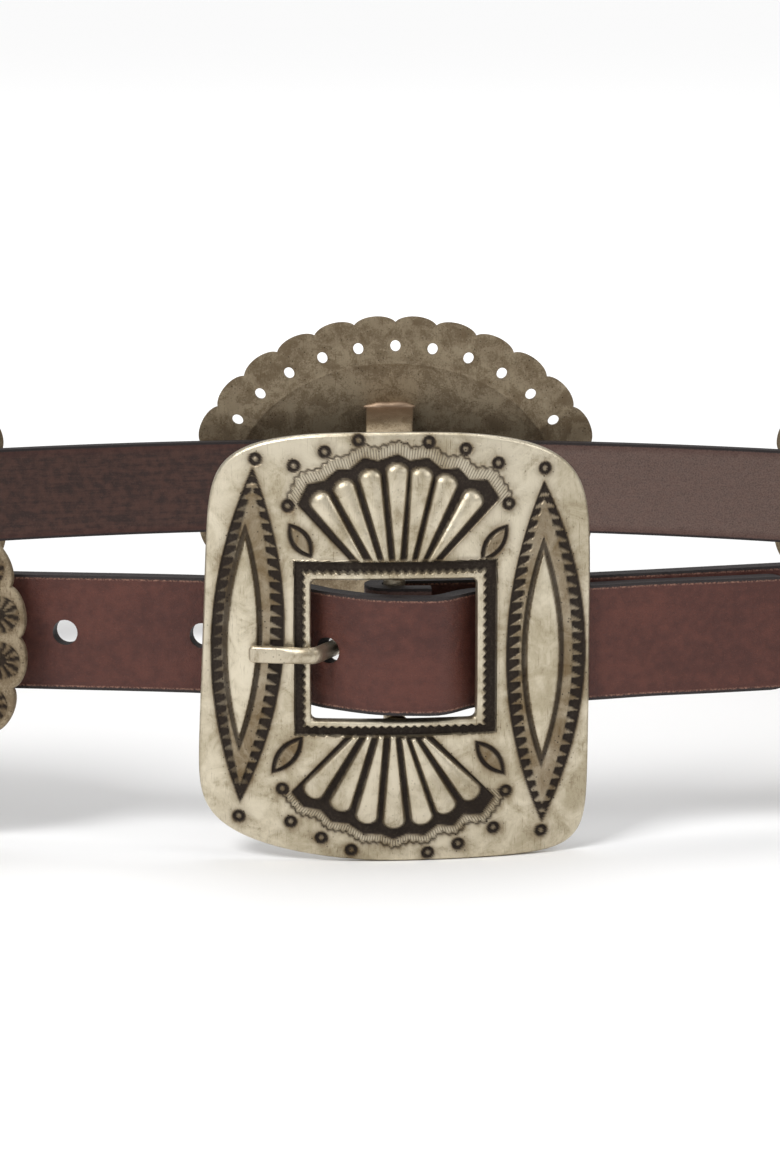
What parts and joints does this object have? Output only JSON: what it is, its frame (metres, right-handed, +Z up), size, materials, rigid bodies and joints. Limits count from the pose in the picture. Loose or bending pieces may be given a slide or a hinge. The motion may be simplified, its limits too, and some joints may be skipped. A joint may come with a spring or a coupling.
{
  "type": "concho belt",
  "caption": "Leather belt fastened in an oval loop and standing on its edge, with a stamped plate buckle and oval scalloped metal plates threaded on the strap.",
  "frame": {"origin": "bottom centre of the whole belt's box, on the surface that the belt stands on", "axes": "+X to the wearer's left along the loop's long way, +Y from the buckle to the back of the belt, +Z up"},
  "size_m": [0.3554, 0.2082, 0.0805],
  "materials": {
    "strap_leather": "reddish brown fine-grained leather with darkened burnished edges",
    "stamped_silver": "hand-stamped silver with worn bright relief and blackened recesses",
    "tarnished_silver": "silver plate with a mottled tarnished back",
    "rivet_brass": "plain brass"
  },
  "bodies": {
    "root": {"strap": "strap_leather", "buckle": "stamped_silver", "tongue": "stamped_silver", "rivet_top": "rivet_brass", "rivet_bottom": "rivet_brass", "concho_near_left": "tarnished_silver", "concho_far_left": "tarnished_silver", "concho_far": "tarnished_silver", "concho_far_right": "tarnished_silver", "concho_near_right": "tarnished_silver"}
  },
  "joints": []
}
